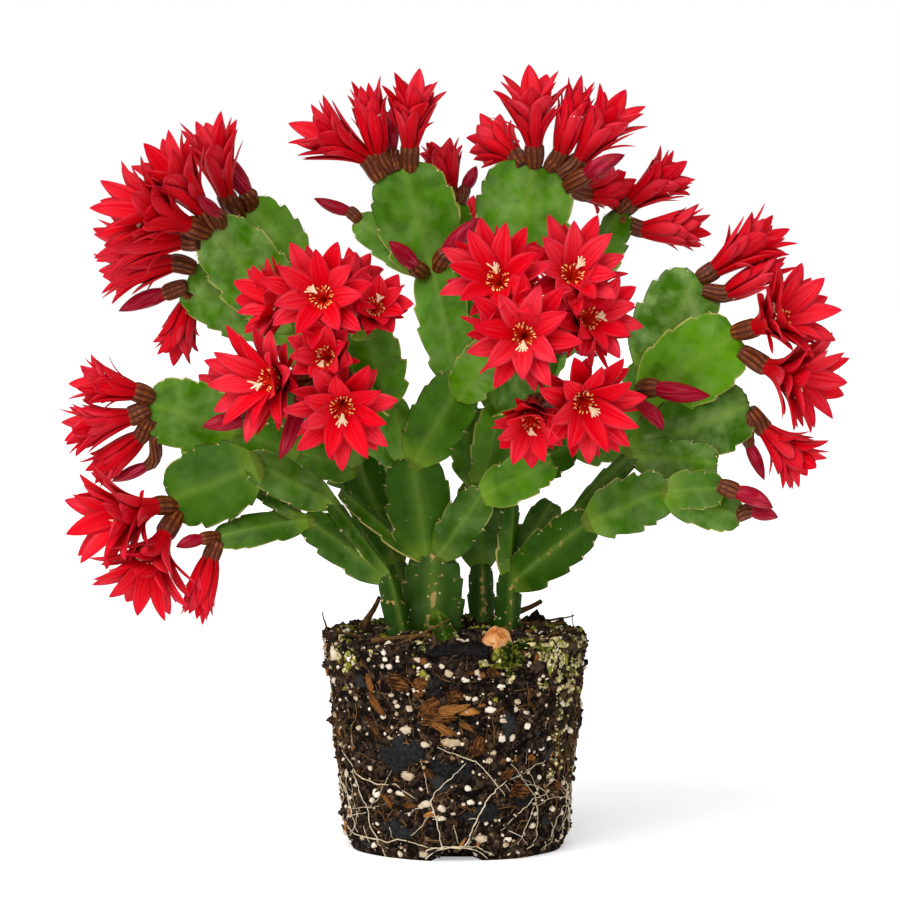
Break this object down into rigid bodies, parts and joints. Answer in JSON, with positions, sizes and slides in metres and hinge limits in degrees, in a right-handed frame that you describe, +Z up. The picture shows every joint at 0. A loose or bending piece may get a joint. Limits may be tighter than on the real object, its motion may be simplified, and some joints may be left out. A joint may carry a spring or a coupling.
{
  "type": "easter cactus",
  "caption": "Flowering easter cactus lifted from its pot: arching chains of flat crenate pads, bunches of red many-petalled flowers, and a bare tapered root ball.",
  "frame": {"origin": "centre of the root ball's flat underside, where the plant stands", "axes": "+Z up along the root ball's axis; -Y is the side that the picture shows; +X to the right of it"},
  "size_m": [0.3422, 0.2122, 0.3408],
  "materials": {
    "pad": "satin",
    "petal": "satin",
    "peat": "matte",
    "sandstone": "matte",
    "moss": "matte",
    "bark": "matte",
    "charcoal": "matte"
  },
  "bodies": {
    "root": {"back_twig": "bark", "bark_chip": "bark", "blooms_back_left": "petal", "blooms_back_left_2": "petal", "blooms_back_low_left": "petal", "blooms_back_low_left_2": "petal", "blooms_back_low_right": "petal", "blooms_back_low_right_2": "petal", "blooms_back_right": "petal", "blooms_back_right_2": "petal", "blooms_back_right_3": "petal", "blooms_back_top": "petal", "blooms_back_top_2": "petal", "blooms_front_left": "petal", "blooms_front_left_2": "petal", "blooms_front_left_3": "petal", "blooms_front_left_4": "petal", "blooms_front_right": "petal", "blooms_front_right_2": "petal", "blooms_front_right_3": "petal", "blooms_lower_left": "petal", "blooms_lower_left_2": "petal", "blooms_mid_left": "petal", "blooms_mid_left_2": "petal", "blooms_mid_left_3": "petal", "blooms_right": "petal", "blooms_right_2": "petal", "blooms_right_3": "petal", "blooms_right_top": "petal", "blooms_right_top_2": "petal", "blooms_top_back": "petal", "blooms_top_left": "petal", "blooms_top_left_2": "petal", "blooms_top_right": "petal", "blooms_top_right_2": "petal", "blooms_top_right_3": "petal", "blooms_upper_left": "petal", "blooms_upper_left_2": "petal", "blooms_upper_left_3": "petal", "blooms_upper_left_4": "petal", "charred_stick": "charcoal", "long_twig": "bark", "moss_clump": "moss", "root_ball": "peat", "stem_back": "pad", "stem_centre": "pad", "stem_left": "pad", "stem_right": "pad", "stem_upper_left": "pad", "stem_upper_right": "pad", "stone": "sandstone"}
  },
  "joints": []
}
